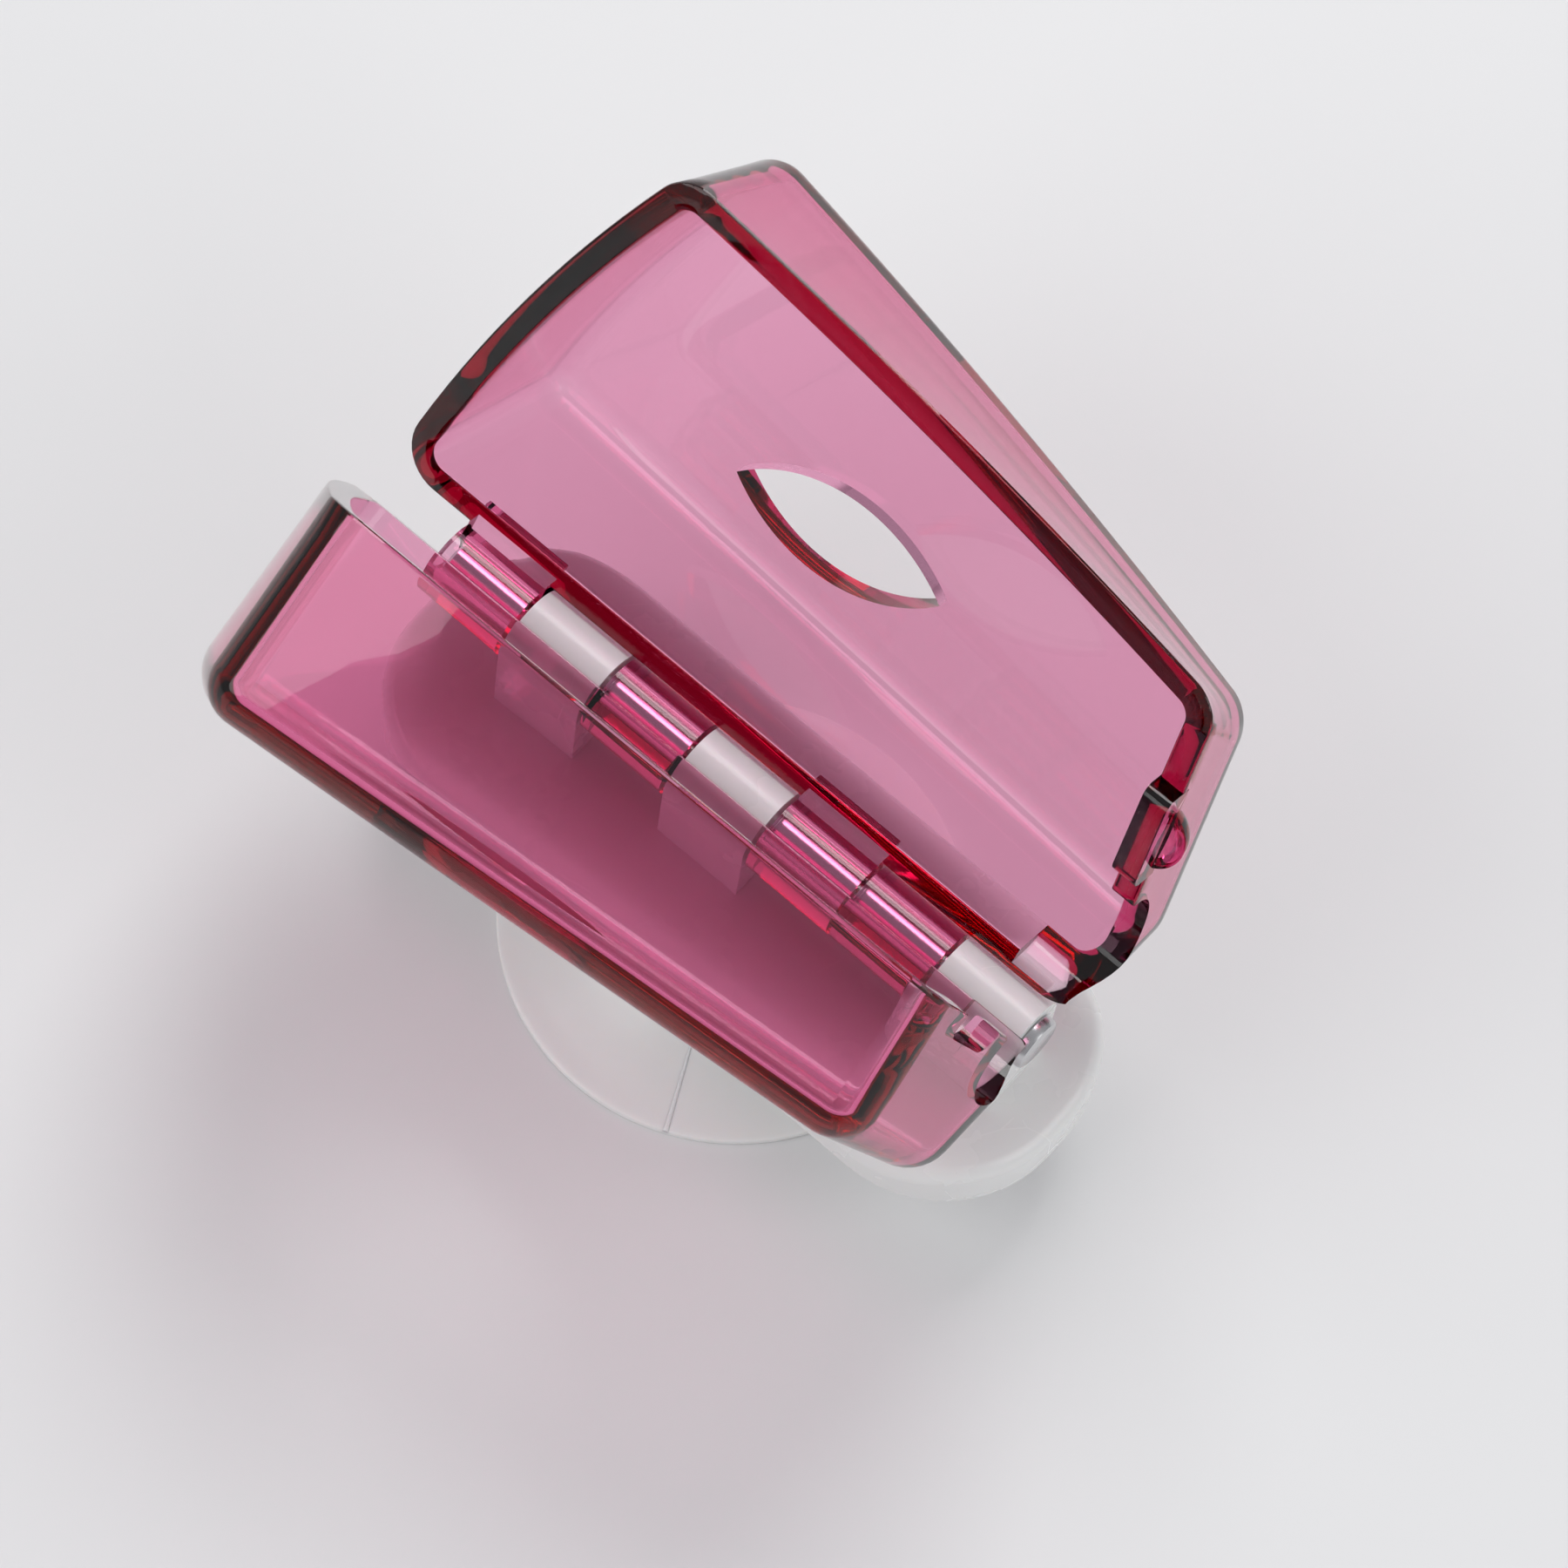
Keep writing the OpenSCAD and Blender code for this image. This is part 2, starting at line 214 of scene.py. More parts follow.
clearPinkLook = {
    "tint": (0.868, 0.092, 0.467), # what is left of each colour by the dye
    "depth": 730.0,                # strength of the dye, per metre
    "ior": 1.5,
    "wave": 70.0, "peel": 600.0, "height": 0.000006,
    "base": 0.01, "smear": 0.02, "scratch": 0.10,
}


def makeClearPink():
    look = clearPinkLook
    finish, tree, shader, where = newFinish("clearPinkPlastic")
    shader.inputs["Base Color"].default_value = (1, 1, 1, 1)
    shader.inputs["Transmission Weight"].default_value = 1.0
    shader.inputs["IOR"].default_value = look["ior"]
    addSurface(tree, shader, where, look["wave"], look["peel"], look["height"],
               look["base"], look["smear"], look["scratch"])
    dye = tree.nodes.new("ShaderNodeVolumeAbsorption")
    dye.inputs["Color"].default_value = (*look["tint"], 1)
    dye.inputs["Density"].default_value = look["depth"]
    tree.links.new(dye.outputs[0], tree.nodes["Material Output"].inputs["Volume"])
    return finish


whiteLook = {
    "color": (0.86, 0.86, 0.85), "shade": (0.80, 0.80, 0.79),
    "wave": 90.0, "peel": 1400.0, "height": 0.000008,
    "base": 0.26, "smear": 0.10, "scratch": 0.15,
}


def makeWhite():
    look = whiteLook
    finish, tree, shader, where = newFinish("whitePlastic")
    addSurface(tree, shader, where, look["wave"], look["peel"], look["height"],
               look["base"], look["smear"], look["scratch"])
    cloud = addNode(tree, "ShaderNodeTexNoise", Scale=70.0, Detail=3.0)
    mix = tree.nodes.new("ShaderNodeMix")
    mix.data_type = "RGBA"
    mix.inputs["A"].default_value = (*look["color"], 1)
    mix.inputs["B"].default_value = (*look["shade"], 1)
    tree.links.new(where, cloud.inputs["Vector"])
    tree.links.new(cloud.outputs["Fac"], mix.inputs["Factor"])
    tree.links.new(mix.outputs["Result"], shader.inputs["Base Color"])
    shader.inputs["Subsurface Weight"].default_value = 0.15
    shader.inputs["Subsurface Radius"].default_value = (0.001, 0.0008, 0.0006)
    return finish


softLook = {
    "color": (0.90, 0.895, 0.885), "shade": (0.84, 0.83, 0.82),
    "wave": 120.0, "peel": 1200.0, "height": 0.00001,
    "base": 0.30, "smear": 0.15, "scratch": 0.1,
}


def makeSoft():
    look = softLook
    finish, tree, shader, where = newFinish("softMilkyVinyl")
    addSurface(tree, shader, where, look["wave"], look["peel"], look["height"],
               look["base"], look["smear"], look["scratch"])
    cloud = addNode(tree, "ShaderNodeTexNoise", Scale=120.0, Detail=4.0)
    mix = tree.nodes.new("ShaderNodeMix")
    mix.data_type = "RGBA"
    mix.inputs["A"].default_value = (*look["color"], 1)
    mix.inputs["B"].default_value = (*look["shade"], 1)
    tree.links.new(where, cloud.inputs["Vector"])
    tree.links.new(cloud.outputs["Fac"], mix.inputs["Factor"])
    tree.links.new(mix.outputs["Result"], shader.inputs["Base Color"])
    shader.inputs["Subsurface Weight"].default_value = 0.6
    shader.inputs["Subsurface Radius"].default_value = (0.0025, 0.0022, 0.002)
    return finish


def makeSteel():
    finish, tree, shader, where = newFinish("pinSteel")
    shader.inputs["Base Color"].default_value = (0.62, 0.62, 0.63, 1)
    shader.inputs["Metallic"].default_value = 1.0
    stretch = tree.nodes.new("ShaderNodeMapping")
    stretch.inputs["Scale"].default_value = (1, 0.06, 1)
    tree.links.new(where, stretch.inputs["Vector"])
    addSurface(tree, shader, stretch.outputs["Vector"], 500.0, 2400.0, 0.00001, 0.22, 0.10, 0.1)
    return finish


clearPink = makeClearPink()
white = makeWhite()
softVinyl = makeSoft()
steel = makeSteel()
print("finishes made")

# shapes


def finishPiece(bm, name, finish, smooth=40):
    mesh = bpy.data.meshes.new(name)
    for vert in bm.verts:
        vert.co *= mm
    bm.normal_update()
    bm.to_mesh(mesh)
    bm.free()
    piece = bpy.data.objects.new(name, mesh)
    bpy.context.scene.collection.objects.link(piece)
    if finish:
        mesh.materials.append(finish)
    for face in mesh.polygons:
        face.use_smooth = True
    mesh.set_sharp_from_angle(angle=math.radians(smooth))
    return piece


def carve(piece, cutters, operation):
    # joins to the piece, or cuts from it, each of the other shapes in turn
    for cutter in cutters:
        change = piece.modifiers.new(cutter.name, "BOOLEAN")
        change.operation = operation
        change.solver = "EXACT"
        change.object = cutter
    settle(piece)
    for cutter in cutters:
        bpy.data.objects.remove(cutter)


def settle(piece):
    # makes the modifiers' result the piece's own mesh
    bpy.context.view_layer.update()
    graph = bpy.context.evaluated_depsgraph_get()
    mesh = bpy.data.meshes.new_from_object(piece.evaluated_get(graph), depsgraph=graph)
    old = piece.data
    piece.modifiers.clear()
    piece.data = mesh
    mesh.name = piece.name
    bpy.data.meshes.remove(old)


def joinTo(piece, other):
    # lays another shape's mesh into the piece's own
    bm = bmesh.new()
    bm.from_mesh(piece.data)
    bm.from_mesh(other.data)
    bm.to_mesh(piece.data)
    bm.free()
    bpy.data.objects.remove(other)


def evenShade(piece, sharp):
    # flat faces keep their own direction up to the rounds beside them
    for face in piece.data.polygons:
        face.use_smooth = True
    piece.data.set_sharp_from_angle(angle=math.radians(sharp))
    change = piece.modifiers.new("evenShade", "WEIGHTED_NORMAL")
    change.mode = "FACE_AREA"
    change.keep_sharp = True
    settle(piece)


def soften(piece, width, angle=35):
    # small rounds along the piece's sharp edges
    change = piece.modifiers.new("softEdges", "BEVEL")
    change.width = width * mm
    change.segments = 3
    change.limit_method = "ANGLE"
    change.angle_limit = math.radians(angle)
    settle(piece)
    evenShade(piece, angle)


shell = {
    "tipHingeY": 21.1, "tipFreeY": 16.5, "neckHingeY": 16.3, "neckFreeY": 14.5,
    "tipHeight": 22.6, "neckHeight": 19.1, "tipDepth": 9.9, "neckDepth": 7.4,
    "tipInset": 2.0, "neckInset": 3.4, "hingeInset": 0.5,
    "tipBulge": 0.6, "freeBulge": 0.35,
    "wall": 1.2, "rimRound": 2.0, "backRound": 1.9, "rimX": 0.1,
    "lowW": 2.0, "rimSoft": 0.12,
    "hingeZ": 12.9, "rightOpen": 30.6, "leftOpen": 23.3,
}
lowCentre = shell["lowW"] + shell["rimRound"]
rimCentres = [
    (shell["tipHingeY"] - shell["rimRound"], lowCentre),
    (shell["tipFreeY"] - shell["rimRound"], shell["tipHeight"] - shell["rimRound"]),
    (shell["rimRound"] - shell["neckFreeY"], shell["neckHeight"] - shell["rimRound"]),
    (shell["rimRound"] - shell["neckHingeY"], lowCentre),
]
backCentres = [
    (rimCentres[0][0] - 0.4, lowCentre + shell["hingeInset"]),
    (rimCentres[1][0], rimCentres[1][1] - shell["tipInset"]),
    (rimCentres[2][0] - 0.1, rimCentres[2][1] - shell["neckInset"]),
    (rimCentres[3][0] + 0.3, lowCentre + shell["hingeInset"]),
]
bulges = [shell["tipBulge"], shell["freeBulge"], 0, 0]
cornerSteps, sideSteps, backSteps, wallSteps = 10, 14, 8, 5


def depthAt(y):
    span = shell["tipFreeY"] + shell["neckFreeY"]
    rise = shell["tipDepth"] - shell["neckDepth"]
    return shell["neckDepth"] + rise * (y + shell["neckFreeY"]) / span


def outline(centres, radius):
    # rounded four-sided outline with bulging sides, as (y, height, direction, corner, share of the side)
    angles, leaving = [], []
    for i in range(4):
        dy = centres[(i + 1) % 4][0] - centres[i][0]
        dw = centres[(i + 1) % 4][1] - centres[i][1]
        angle = math.atan2(-dy, dw)
        angles.append(angle + 2 * math.pi if angle < -math.pi / 4 else angle)
        leaving.append(math.atan(4 * bulges[i] / math.hypot(dy, dw)))
    points = []
    for i in range(4):
        last, following = (i + 3) % 4, (i + 1) % 4
        start = angles[last] - (2 * math.pi if i == 0 else 0) + leaving[last]
        end = angles[i] - leaving[i]
        for k in range(cornerSteps + 1):
            turn = start + (end - start) * k / cornerSteps
            cornerY = centres[i][0] + radius * math.cos(turn)
            cornerW = centres[i][1] + radius * math.sin(turn)
            points.append((cornerY, cornerW, turn, i, 0))
        for k in range(1, sideSteps):
            share = k / sideSteps
            cy = centres[i][0] + (centres[following][0] - centres[i][0]) * share
            cw = centres[i][1] + (centres[following][1] - centres[i][1]) * share
            out = radius * math.cos(leaving[i]) + 4 * bulges[i] * share * (1 - share)
            slip = radius * math.sin(leaving[i]) * (2 * share - 1)
            turn = angles[i]
            points.append((cy + out * math.cos(turn) - slip * math.sin(turn),
                           cw + out * math.sin(turn) + slip * math.cos(turn),
                           turn + (2 * share - 1) * leaving[i], i, share))
    return points


def wallRing(inset, share):
    centres = [(r[0] + (b[0] - r[0]) * share, r[1] + (b[1] - r[1]) * share)
               for r, b in zip(rimCentres, backCentres)]
    ring = []
    for y, w, turn, i, side in outline(centres, shell["rimRound"] - inset):
        x = shell["rimX"] + (depthAt(y) - shell["backRound"] - shell["rimX"]) * share
        ring.append(Vector((x, y, w)))
    return ring


def backRing(inset, share):
    ring = []
    outer = outline(backCentres, shell["rimRound"])
    leans = []
    shifts = [(r[0] - b[0], r[1] - b[1]) for r, b in zip(rimCentres, backCentres)]
    for y, w, turn, i, side in outer:
        j = (i + 1) % 4
        oy = shifts[i][0] * (1 - side) + shifts[j][0] * side
        ow = shifts[i][1] * (1 - side) + shifts[j][1] * side
        run = depthAt(y) - shell["backRound"] - shell["rimX"]
        leans.append(math.atan((oy * math.cos(turn) + ow * math.sin(turn)) / run))
    small = shell["backRound"] - inset
    for k, lean in enumerate(leans):
        angle = lean + (math.pi / 2 - lean) * share
        radius = shell["rimRound"] - shell["backRound"] + small * math.cos(angle)
        y, w = outline(backCentres, radius)[k][:2]
        ring.append(Vector((depthAt(y) - shell["backRound"] + small * math.sin(angle), y, w)))
    return ring


def loft(bm, rings):
    # a tube through the rings: each ring starts as a circle and is bridged to the one before
    loops = []
    for ring in rings:
        made = bmesh.ops.create_circle(bm, segments=len(ring), radius=1)
        for vert, place in zip(made["verts"], ring):
            vert.co = place
        loops.append(list({e for v in made["verts"] for e in v.link_edges}))
    for first, second in zip(loops, loops[1:]):
        bmesh.ops.bridge_loops(bm, edges=first + second)
    return loops


def makeShellForm():
    soft = shell["rimSoft"]
    rings = []
    # inside, from the middle of the back out to the rim
    for k in range(backSteps, -1, -1):
        rings.append(backRing(shell["wall"], k / backSteps))
    for k in range(wallSteps - 1, 0, -1):
        rings.append(wallRing(shell["wall"], k / wallSteps))
    # the rim, its two edges softened
    wall, bend = shell["wall"], soft * 0.3
    for inset, lift in ((wall, soft), (wall - bend, bend), (wall - soft, 0),
                        (soft, 0), (bend, bend), (0, soft)):
        rings.append([p + Vector((lift, 0, 0)) for p in wallRing(inset, 0)])
    # outside, from the rim to the back
    for k in range(1, wallSteps):
        rings.append(wallRing(0, k / wallSteps))
    for k in range(backSteps + 1):
        rings.append(backRing(0, k / backSteps))
    bm = bmesh.new()
    loops = loft(bm, rings)
    for loop in (loops[0], loops[-1]):
        bmesh.ops.contextual_create(bm, geom=loop)
    bmesh.ops.recalc_face_normals(bm, faces=bm.faces)
    return bm


def neckY(w):
    (ay, aw), (by, bw) = rimCentres[3], rimCentres[2]
    slope = (by - ay) / (bw - aw)
    return ay + slope * (w - aw) - shell["rimRound"] * math.sqrt(1 + slope * slope)


hinge = {
    "pinR": 0.75, "runGap": 0.05, "barrelR": 1.8, "length": 4.4, "pitch": 4.6, "middle": 1.0, "count": 7,
    "right": (2, 6), "left": (1, 4), "saddle": (0, 3, 5),
}


def knuckleY(k):
    return hinge["middle"] + (k - (hinge["count"] - 1) / 2) * hinge["pitch"]


def rod(name, radius, start, end, segments=64, axis="Y"):
    # round bar between two places along one axis
    bm = bmesh.new()
    length = (Vector(end) - Vector(start)).length
    bmesh.ops.create_cone(bm, cap_ends=True, segments=segments, radius1=radius, radius2=radius,
                          depth=length)
    turned = Matrix.Rotation(math.radians(-90), 4, "X") if axis == "Y" else Matrix.Identity(4)
    middle = (Vector(start) + Vector(end)) / 2
    bmesh.ops.transform(bm, matrix=Matrix.Translation(middle) @ turned, verts=bm.verts)
    return finishPiece(bm, name, None)


def block(name, low, high):
    bm = bmesh.new()
    bmesh.ops.create_cube(bm, size=1)
    low, high = Vector(low), Vector(high)
    stretched = Matrix.Diagonal((*(high - low), 1))
    bmesh.ops.transform(bm, matrix=Matrix.Translation((low + high) / 2) @ stretched, verts=bm.verts)
    return finishPiece(bm, name, None)


tab = {"height": 12.0, "radius": 1.5, "sink": 0.5}
tongue = {"low": 10.1, "high": 14.5, "reach": 1.1, "corner": 0.5, "gap": 0.15, "root": 0.5}
opening = {"hole": 6.2, "holeHeight": 5.5, "ventY": 4.9, "ventHeight": 7.8,
           "ventLength": 11.0, "ventRise": 4.2, "ventLean": 10.0}


def fingerTab():
    bm = bmesh.new()
    bmesh.ops.create_uvsphere(bm, u_segments=48, v_segments=24, radius=tab["radius"])
    middle = Vector((shell["rimX"], neckY(tab["height"]) + tab["sink"], tab["height"]))
    bmesh.ops.translate(bm, vec=middle, verts=bm.verts)
    inWall = middle + Vector((0, shell["wall"] / 2 - tab["sink"], 0))
    for spot, away in ((middle, (-1, 0, 0)), (inWall, (0, 1, 0))):
        cut = bmesh.ops.bisect_plane(bm, geom=bm.verts[:] + bm.edges[:] + bm.faces[:],
                                     plane_co=spot, plane_no=away, clear_outer=True)
        rim = [e for e in cut["geom_cut"] if isinstance(e, bmesh.types.BMEdge)]
        bmesh.ops.contextual_create(bm, geom=rim)
    return finishPiece(bm, "tab", None)


def ventLeaf():
    # leaf-shaped bar between two arcs, along X and leaning a little
    half, rise = opening["ventLength"] / 2, opening["ventRise"] / 2
    arc = (half * half + rise * rise) / (2 * rise)
    spread = math.asin(half / arc)
    flat = []
    for side in (1, -1):
        for k in range(48):
            turn = spread * (1 - 2 * k / 48)
            height = arc * math.cos(turn) - arc + rise
            flat.append(Vector((0, side * arc * math.sin(turn), side * height)))
    bm = bmesh.new()
    loft(bm, [[p + Vector((x, 0, 0)) for p in flat] for x in (0, shell["tipDepth"])])
    bmesh.ops.holes_fill(bm, edges=bm.edges)
    bmesh.ops.recalc_face_normals(bm, faces=bm.faces)
    turned = (Matrix.Translation((shell["neckDepth"] / 2, opening["ventY"], opening["ventHeight"]))
              @ Matrix.Rotation(math.radians(-opening["ventLean"]), 4, "X"))
    bmesh.ops.transform(bm, matrix=turned, verts=bm.verts)
    return finishPiece(bm, "vent", None)


def neckBar(name, grow, fromX, toX, outer, inner, roundX):
    # bar that follows the leaning neck wall, with its two corners at roundX rounded
    low, high = tongue["low"] - grow, tongue["high"] + grow
    bm = bmesh.new()
    bmesh.ops.create_cube(bm, size=1)
    for vert in bm.verts:
        w = high if vert.co.z > 0 else low
        deep = inner if vert.co.y > 0 else outer
        vert.co = Vector((toX if vert.co.x > 0 else fromX, neckY(w) + deep, w))
    corners = [e for e in bm.edges if all(abs(v.co.x - roundX) < 0.001 for v in e.verts)
               and abs(e.verts[0].co.z - e.verts[1].co.z) < 0.001]
    bmesh.ops.bevel(bm, geom=corners, offset=tongue["corner"] + grow, segments=8, profile=0.5,
                    affect="EDGES", material=-1)
    return finishPiece(bm, name, None)


def makeShell(name, places, hasTongue):
    piece = finishPiece(makeShellForm(), name, clearPink, 50)
    added = []
    for k in places:
        y = knuckleY(k) - hinge["length"] / 2
        added.append(rod("barrel", hinge["barrelR"], (0, y, 0), (0, y + hinge["length"], 0)))
        webTop = (shell["rimX"] + shell["wall"], y + hinge["length"], shell["lowW"] + shell["wall"] / 2)
        added.append(block("web", (shell["rimX"], y, 0), webTop))
    if hasTongue:
        added.append(fingerTab())
        added.append(neckBar("tongue", 0, -tongue["reach"], shell["rimX"] + tongue["root"], 0,
                             shell["wall"], -tongue["reach"]))
    carve(piece, added, "UNION")
    reach = 20
    removed = [
        rod("bore", hinge["pinR"] + hinge["runGap"], (0, -reach, 0), (0, reach, 0)),
        rod("hole", opening["hole"] / 2, (0, -shell["neckHingeY"] - 1, opening["holeHeight"]),
            (0, -shell["neckHingeY"] + 2.4 + shell["wall"], opening["holeHeight"]), 96),
        ventLeaf(),
    ]
    if not hasTongue:
        depth = tongue["reach"] + tongue["gap"]
        removed.append(neckBar("seat", tongue["gap"], -5, depth, -2, shell["wall"] + 2, depth))
    carve(piece, removed, "DIFFERENCE")
    return piece


def openShell(piece, angle, side):
    turned = (Matrix.Translation((0, 0, shell["hingeZ"] * mm))
              @ Matrix.Rotation(math.radians(angle * side), 4, "Y")
              @ Matrix.Diagonal((side, 1, 1, 1)))
    piece.data.transform(turned)
    if side < 0:
        piece.data.flip_normals()
    evenShade(piece, 38)


rightShell = makeShell("rightShell", hinge["right"], True)
openShell(rightShell, shell["rightOpen"], 1)
leftShell = makeShell("leftShell", hinge["left"], False)
openShell(leftShell, shell["leftOpen"], -1)
for piece, node in ((rightShell, "right_shell"), (leftShell, "left_shell")):
    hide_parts(node)
    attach(piece, node)
print("shells made")

saddle = {
    "length": 35.6, "width": 13.2, "corner": 6.0, "bottom": 4.6,
    "height": 4.5, "sideHeight": 2.0, "fall": 1.6, "soft": 0.6, "edge": 0.16,
    "neckHole": 5.4, "floor": 1.2, "headHole": 8.2, "headRoom": 1.8,
}


def crownAt(x, y):
    # height of the saddle's domed top
    rise = saddle["height"] - saddle["sideHeight"]
    cross = (saddle["width"] ** 2 / 4 + rise ** 2) / (2 * rise)
    along = (saddle["length"] ** 2 / 4 + saddle["fall"] ** 2) / (2 * saddle["fall"])
    drops = (cross - math.sqrt(cross ** 2 - x ** 2), along - math.sqrt(along ** 2 - y ** 2))
    return saddle["bottom"] + saddle["height"] - (drops[0] ** 2.5 + drops[1] ** 2.5) ** 0.4


def planRing(inset, height):
    # the saddle's outline drawn in by a distance, at a height or at a depth below the crown
    radius = saddle["corner"] - inset
    midX, midY = saddle["width"] / 2 - saddle["corner"], saddle["length"] / 2 - saddle["corner"]
    flat = []
    for sx, sy, start in ((1, -1, -90), (1, 1, 0), (-1, 1, 90), (-1, -1, 180)):
        for k in range(13):
            turn = math.radians(start + 7.5 * k)
            flat.append((sx * midX + radius * math.cos(turn), sy * midY + radius * math.sin(turn)))
        for k in range(1, 20):
            if sx == 1 and sy == -1:
                flat.append((midX + radius, -midY + 2 * midY * k / 20))
            if sx == -1 and sy == 1:
                flat.append((-midX - radius, midY - 2 * midY * k / 20))
    return [Vector((x, y, height(x, y))) for x, y in flat]


def makeSaddle():
    soft, bottom = saddle["soft"], saddle["bottom"]
    rings = [planRing(0.2, lambda x, y: bottom), planRing(0.06, lambda x, y: bottom + 0.06),
             planRing(0, lambda x, y: bottom + 0.2)]
    for k in range(9):
        turn = math.pi / 2 * k / 8
        drop = soft * (1 - math.sin(turn))
        rings.append(planRing(soft * (1 - math.cos(turn)), lambda x, y: crownAt(x, y) - drop))
    for k in range(1, 13):
        rings.append(planRing(soft + (saddle["corner"] - 0.15 - soft) * k / 12, crownAt))
    bm = bmesh.new()
    loops = loft(bm, rings)
    made = [bmesh.ops.contextual_create(bm, geom=loop)["faces"] for loop in (loops[0], loops[-1])]
    bmesh.ops.triangulate(bm, faces=made[1], ngon_method="BEAUTY")
    bmesh.ops.recalc_face_normals(bm, faces=bm.faces)
    piece = finishPiece(bm, "saddleBody", white, 40)
    feet = bottom + saddle["sideHeight"]
    radius, axisZ = hinge["barrelR"], shell["hingeZ"]
    added = []
    for k in hinge["saddle"]:
        y = knuckleY(k) - hinge["length"] / 2
        end = y + hinge["length"]
        added.append(rod("barrel", radius, (0, y, axisZ), (0, end, axisZ)))
        added.append(block("foot", (-radius, y, feet), (radius, end, axisZ)))
    carve(piece, added, "UNION")
    head = bottom + saddle["floor"]
    carve(piece, [
        rod("bore", hinge["pinR"] + 0.01, (0, -20, axisZ), (0, 20, axisZ)),
        rod("neckHole", saddle["neckHole"] / 2, (0, 0, bottom - 1), (0, 0, head + 0.3), 64, "Z"),
        rod("headHole", saddle["headHole"] / 2, (0, 0, head),
            (0, 0, head + saddle["headRoom"]), 64, "Z"),
    ], "DIFFERENCE")
    soften(piece, saddle["edge"])
    return piece


def spunPiece(name, profile, finish, steps, axis, sharp):
    # a profile of (radius, place along the axis) turned once round the Z or the Y axis
    bm = bmesh.new()
    verts = [bm.verts.new((radius, 0, along)) for radius, along in profile]
    for first, second in zip(verts, verts[1:]):
        bm.edges.new((first, second))
    bmesh.ops.spin(bm, geom=bm.verts[:] + bm.edges[:], cent=(0, 0, 0), axis=(0, 0, 1), dvec=(0, 0, 0),
                   angle=2 * math.pi, steps=steps, use_merge=True)
    bmesh.ops.remove_doubles(bm, verts=bm.verts, dist=0.0005)
    if axis == "Y":
        bmesh.ops.rotate(bm, verts=bm.verts, cent=(0, 0, 0),
                         matrix=Matrix.Rotation(math.radians(-90), 3, "X"))
    bmesh.ops.recalc_face_normals(bm, faces=bm.faces)
    return finishPiece(bm, name, finish, sharp)


cup = {
    "radius": 10.2, "height": 4.6, "lip": 0.5, "seal": 2.6, "hollow": 0.8, "pad": 2.2,
    "neck": 2.6, "head": 4.0, "headHeight": 1.6, "gap": 0.1, "shoulder": 3.8,
    "lineTurn": 205, "lineWide": 0.28, "lineHigh": 0.12, "lineReach": 0.62,
}


def smoothRun(points, steps):
    # smooth curve through the points
    run = []
    ends = [points[0]] + points + [points[-1]]
    for a, b, c, d in zip(ends, ends[1:], ends[2:], ends[3:]):
        for k in range(steps):
            t = k / steps
            run.append(tuple(0.5 * (2 * q + (r - p) * t
                                    + (2 * p - 5 * q + 4 * r - s) * t * t
                                    + (3 * q - p - 3 * r + s) * t ** 3)
                             for p, q, r, s in zip(a, b, c, d)))
    return run + [points[-1]]


def cupSlope():
    radius, lip = cup["radius"], cup["lip"]
    return smoothRun([(radius, lip - 0.12), (radius - 0.15, lip), (radius - 1.2, lip + 0.3),
                      (radius - 2.9, lip + 0.95), (radius - 4.4, lip + 1.75),
                      (cup["shoulder"] + 0.5, cup["height"] * 0.72),
                      (cup["shoulder"], cup["height"] - cup["gap"])], 8)


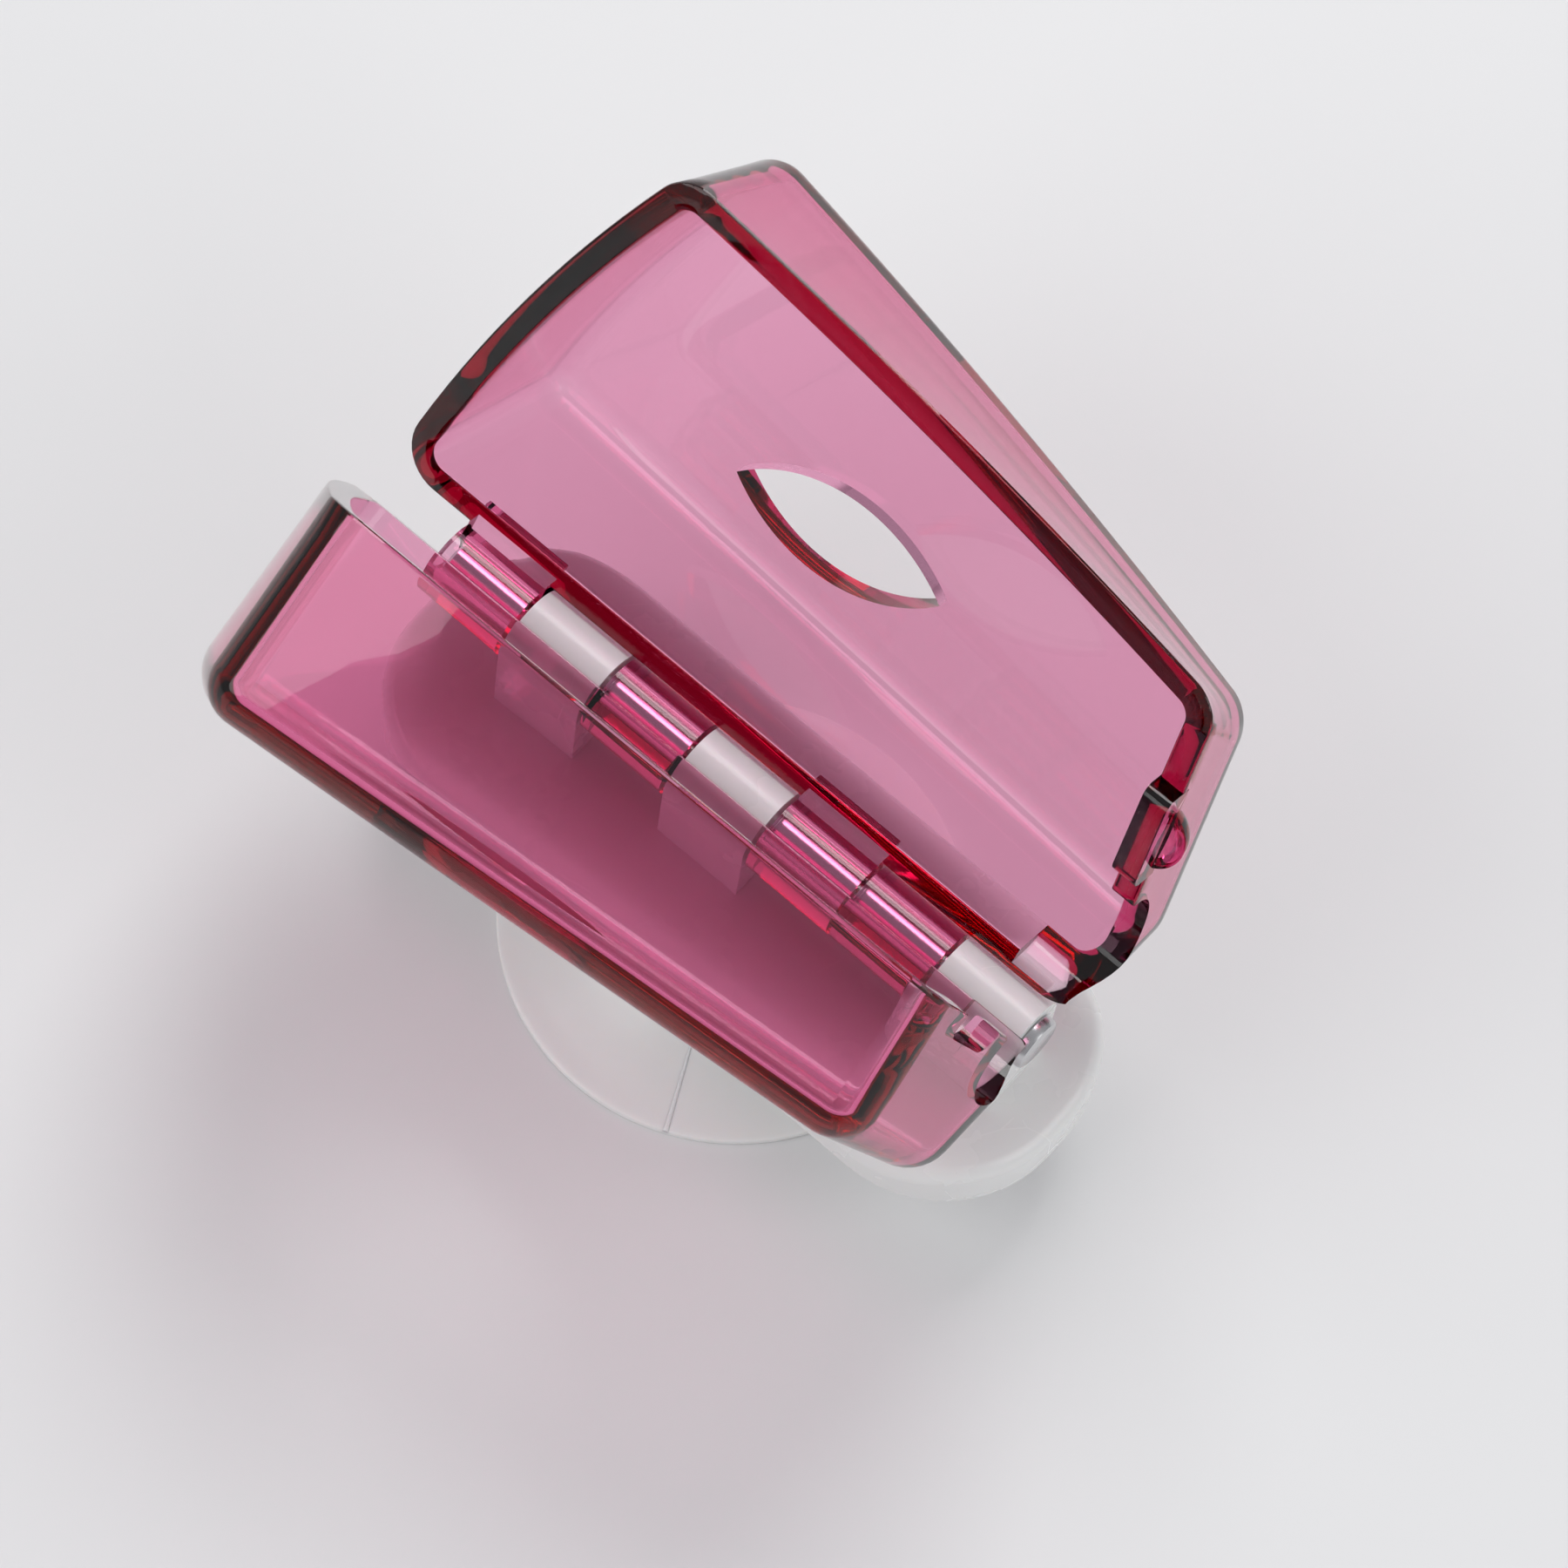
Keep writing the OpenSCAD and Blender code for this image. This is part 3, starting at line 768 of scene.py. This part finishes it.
def makeCup():
    radius, seat = cup["radius"], saddle["bottom"] + saddle["floor"] + cup["gap"]
    neckTop = cup["height"] - cup["gap"]
    top = seat + cup["headHeight"] - 0.1
    profile = [(0, 0), (cup["pad"], 0)]
    inner = radius - cup["seal"]
    profile += smoothRun([(cup["pad"] + 0.1, 0.02), (cup["pad"] + 0.6, cup["hollow"]),
                          (inner - 1, cup["hollow"]), (inner, 0.02)], 6)
    profile += [(inner + 0.1, 0), (radius - 0.12, 0), (radius - 0.03, 0.03), (radius, 0.12)]
    slope = cupSlope()
    profile += slope
    neck, head = cup["neck"], cup["head"]
    profile += [(neck + 0.15, neckTop), (neck, neckTop + 0.15), (neck, seat - 0.1), (neck + 0.1, seat)]
    profile += [(head - 0.15, seat), (head, seat + 0.15), (head, seat + cup["headHeight"] / 2)]
    profile += [(head - 0.4, top - 0.3), (head - 1, top), (0, top)]
    piece = spunPiece("suctionCup", profile, softVinyl, 128, "Z", 50)
    # the line that the mould's parting left, from the lip up the slope
    used = slope[2:int(len(slope) * cup["lineReach"])]
    rings = []
    for k, (r, z) in enumerate(used):
        share = k / (len(used) - 1)
        wide, high = cup["lineWide"] / 2 * (1 - 0.6 * share), cup["lineHigh"] * (1 - 0.7 * share)
        ring = []
        for j in range(12):
            turn = 2 * math.pi * j / 12
            up = high * math.sin(turn) if math.sin(turn) > 0 else 0.15 * math.sin(turn)
            ring.append(Vector((r, wide * math.cos(turn), z + up)))
        rings.append(ring)
    bm = bmesh.new()
    loops = loft(bm, rings)
    for loop in (loops[0], loops[-1]):
        bmesh.ops.contextual_create(bm, geom=loop)
    bmesh.ops.rotate(bm, verts=bm.verts, cent=(0, 0, 0),
                     matrix=Matrix.Rotation(math.radians(cup["lineTurn"]), 3, "Z"))
    bmesh.ops.recalc_face_normals(bm, faces=bm.faces)
    joinTo(piece, finishPiece(bm, "mouldLine", None, 60))
    return piece


pin = {"radius": 0.75, "short": 0.3, "headR": 1.25, "headT": 0.6, "point": 0.15}


def makePin():
    length = hinge["count"] * hinge["pitch"] - (hinge["pitch"] - hinge["length"])
    start, end = hinge["middle"] - length / 2, hinge["middle"] + length / 2 - pin["short"]
    r, h = pin["radius"], pin["headR"]
    low = start - pin["headT"]
    profile = [(0, low), (h - 0.25, low), (h - 0.07, low + 0.07),
               (h, low + 0.25), (h, start - 0.08), (h - 0.08, start), (r, start),
               (r, end - pin["point"]), (r - pin["point"], end), (0, end)]
    piece = spunPiece("hingePin", profile, steel, 64, "Y", 30)
    piece.data.transform(Matrix.Translation((0, 0, shell["hingeZ"] * mm)))
    return piece


saddlePiece = makeSaddle()
cupPiece = makeCup()
pinPiece = makePin()
for piece, node, slot in ((saddlePiece, "saddle", "white_plastic"),
                          (cupPiece, "suction_cup", "soft_clear"),
                          (pinPiece, "hinge_pin", "pin_steel")):
    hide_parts(node)
    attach(piece, "base")
print("saddle, cup and pin made")

# the floor

floorLook = {"size": 3.0, "color": (0.80, 0.80, 0.80), "shade": (0.76, 0.76, 0.765)}


def makeFloor():
    bm = bmesh.new()
    bmesh.ops.create_grid(bm, x_segments=1, y_segments=1, size=floorLook["size"] / 2 / mm)
    finish, tree, shader, where = newFinish("floorFinish")
    shader.inputs["Roughness"].default_value = 0.6
    cloud = addNode(tree, "ShaderNodeTexNoise", Scale=14.0, Detail=3.0)
    mix = tree.nodes.new("ShaderNodeMix")
    mix.data_type = "RGBA"
    mix.inputs["A"].default_value = (*floorLook["color"], 1)
    mix.inputs["B"].default_value = (*floorLook["shade"], 1)
    tree.links.new(where, cloud.inputs["Vector"])
    tree.links.new(cloud.outputs["Fac"], mix.inputs["Factor"])
    tree.links.new(mix.outputs["Result"], shader.inputs["Base Color"])
    floor = finishPiece(bm, "floor", finish)


makeFloor()
print("floor made")
